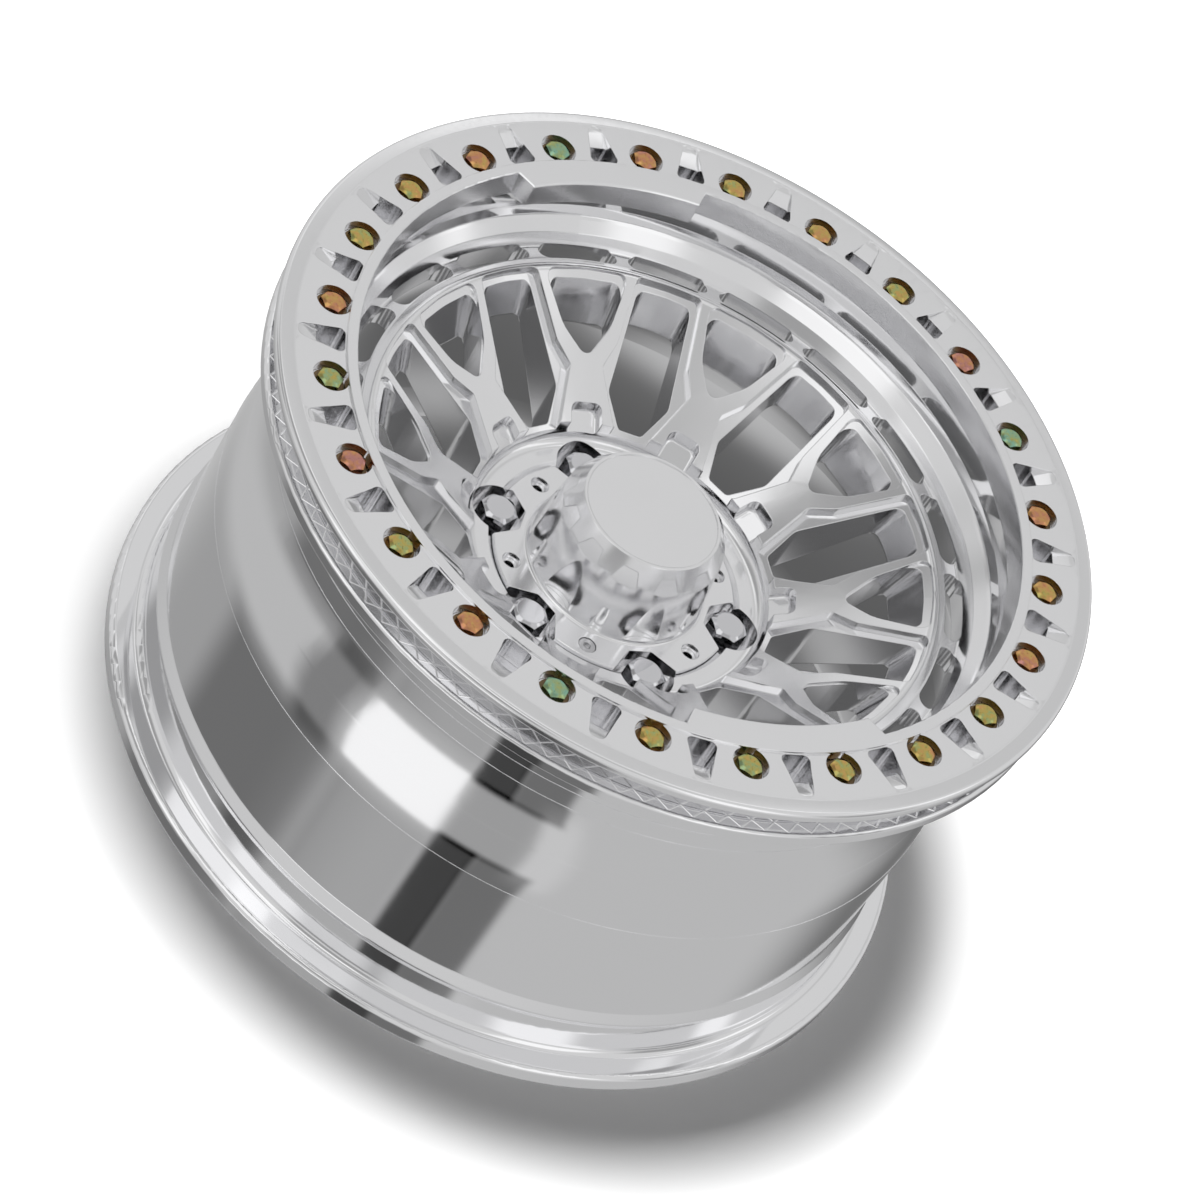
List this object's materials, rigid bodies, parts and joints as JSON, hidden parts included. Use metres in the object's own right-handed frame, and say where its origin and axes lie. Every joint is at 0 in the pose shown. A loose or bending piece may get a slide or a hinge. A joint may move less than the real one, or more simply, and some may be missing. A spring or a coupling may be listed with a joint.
{
  "type": "forged wheel",
  "caption": "Forged alloy rim with a dished mesh face, a bolted bead ring, a fluted hub cap and conical lug nuts. It carries a tyre on the hub of an off-road vehicle.",
  "frame": {"origin": "centre of the rear flange's flat end, where the wheel lies on the ground", "axes": "+Z along the wheel's axis towards the spoke face; +X through the middle of one ring tab and one spoke"},
  "size_m": [0.4716, 0.4716, 0.2561],
  "materials": {
    "forged_aluminium": "machined and polished",
    "zinc_plated_steel": "iridescent yellow zinc",
    "dark_chrome": "dark chrome",
    "bright_steel": "plain steel"
  },
  "bodies": {
    "root": {"wheel": "forged_aluminium", "bead_ring": "forged_aluminium", "hub_cap": "forged_aluminium", "ring_bolt_01": "zinc_plated_steel", "ring_bolt_02": "zinc_plated_steel", "ring_bolt_03": "zinc_plated_steel", "ring_bolt_04": "zinc_plated_steel", "ring_bolt_05": "zinc_plated_steel", "ring_bolt_06": "zinc_plated_steel", "ring_bolt_07": "zinc_plated_steel", "ring_bolt_08": "zinc_plated_steel", "ring_bolt_09": "zinc_plated_steel", "ring_bolt_10": "zinc_plated_steel", "ring_bolt_11": "zinc_plated_steel", "ring_bolt_12": "zinc_plated_steel", "ring_bolt_13": "zinc_plated_steel", "ring_bolt_14": "zinc_plated_steel", "ring_bolt_15": "zinc_plated_steel", "ring_bolt_16": "zinc_plated_steel", "ring_bolt_17": "zinc_plated_steel", "ring_bolt_18": "zinc_plated_steel", "ring_bolt_19": "zinc_plated_steel", "ring_bolt_20": "zinc_plated_steel", "ring_bolt_21": "zinc_plated_steel", "ring_bolt_22": "zinc_plated_steel", "ring_bolt_23": "zinc_plated_steel", "ring_bolt_24": "zinc_plated_steel", "ring_washers": "zinc_plated_steel", "lug_nut_1": "dark_chrome", "lug_nut_2": "dark_chrome", "lug_nut_3": "dark_chrome", "lug_nut_4": "dark_chrome", "lug_nut_5": "dark_chrome", "lug_nut_6": "dark_chrome", "cap_screw_1": "bright_steel", "cap_screw_2": "bright_steel"}
  },
  "joints": []
}
